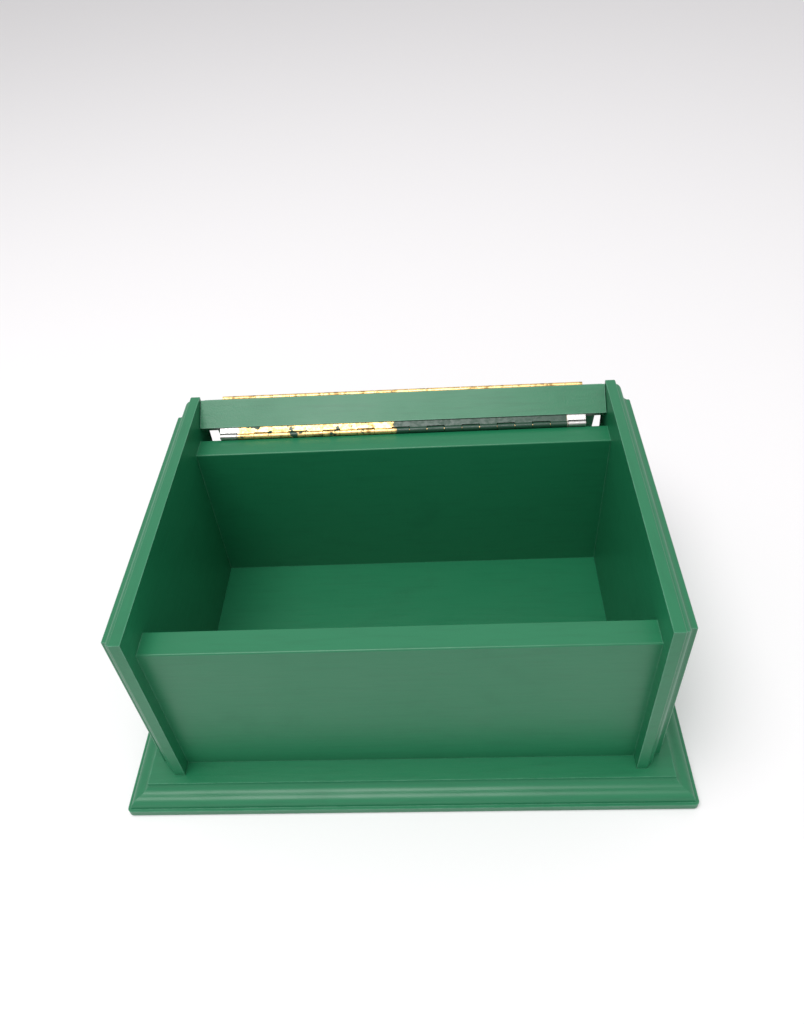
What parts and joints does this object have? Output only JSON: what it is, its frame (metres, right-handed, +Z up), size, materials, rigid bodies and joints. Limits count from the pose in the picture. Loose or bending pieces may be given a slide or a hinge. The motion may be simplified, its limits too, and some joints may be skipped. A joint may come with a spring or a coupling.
{
  "type": "wooden jewelry box",
  "caption": "Open-top wooden box with moulded base and side edges, and a folding lid thrown back on piano hinges, for keepsakes.",
  "frame": {"origin": "centre of the base's underside", "axes": "+X to the right seen from the front, +Y to the back, +Z up"},
  "size_m": [0.2764, 0.226, 0.1195],
  "materials": {
    "green_paint": "semi-gloss green paint",
    "brass": "worn plated brass",
    "steel_screw": "plain zinc"
  },
  "bodies": {
    "box": {"base_plank": "green_paint", "left_side": "green_paint", "right_side": "green_paint", "front_panel": "green_paint", "back_panel": "green_paint", "base_screws": "steel_screw", "rear_hinge_fixed_leaf": "brass", "rear_hinge_pin": "brass", "rear_hinge_screws": "brass"},
    "flap": {"lid_flap": "green_paint", "rear_hinge_moving_leaf": "brass", "lid_hinge_fixed_leaf": "brass", "lid_hinge_pin": "brass", "lid_hinge_flap_screws": "brass"},
    "lid": {"lid_panel": "green_paint", "lid_hinge_moving_leaf": "brass", "lid_hinge_lid_screws": "brass"}
  },
  "joints": [
    {"name": "flap_hinge", "type": "hinge", "parent": "box", "child": "flap", "pos_m": [0, 0.0663, 0.1048], "axis": [1, 0, 0], "range_deg": [0, 144]},
    {"name": "lid_hinge", "type": "hinge", "parent": "flap", "child": "lid", "pos_m": [0, 0.08673, 0.11513], "axis": [1, 0, 0], "range_deg": [0, 108.49]}
  ]
}
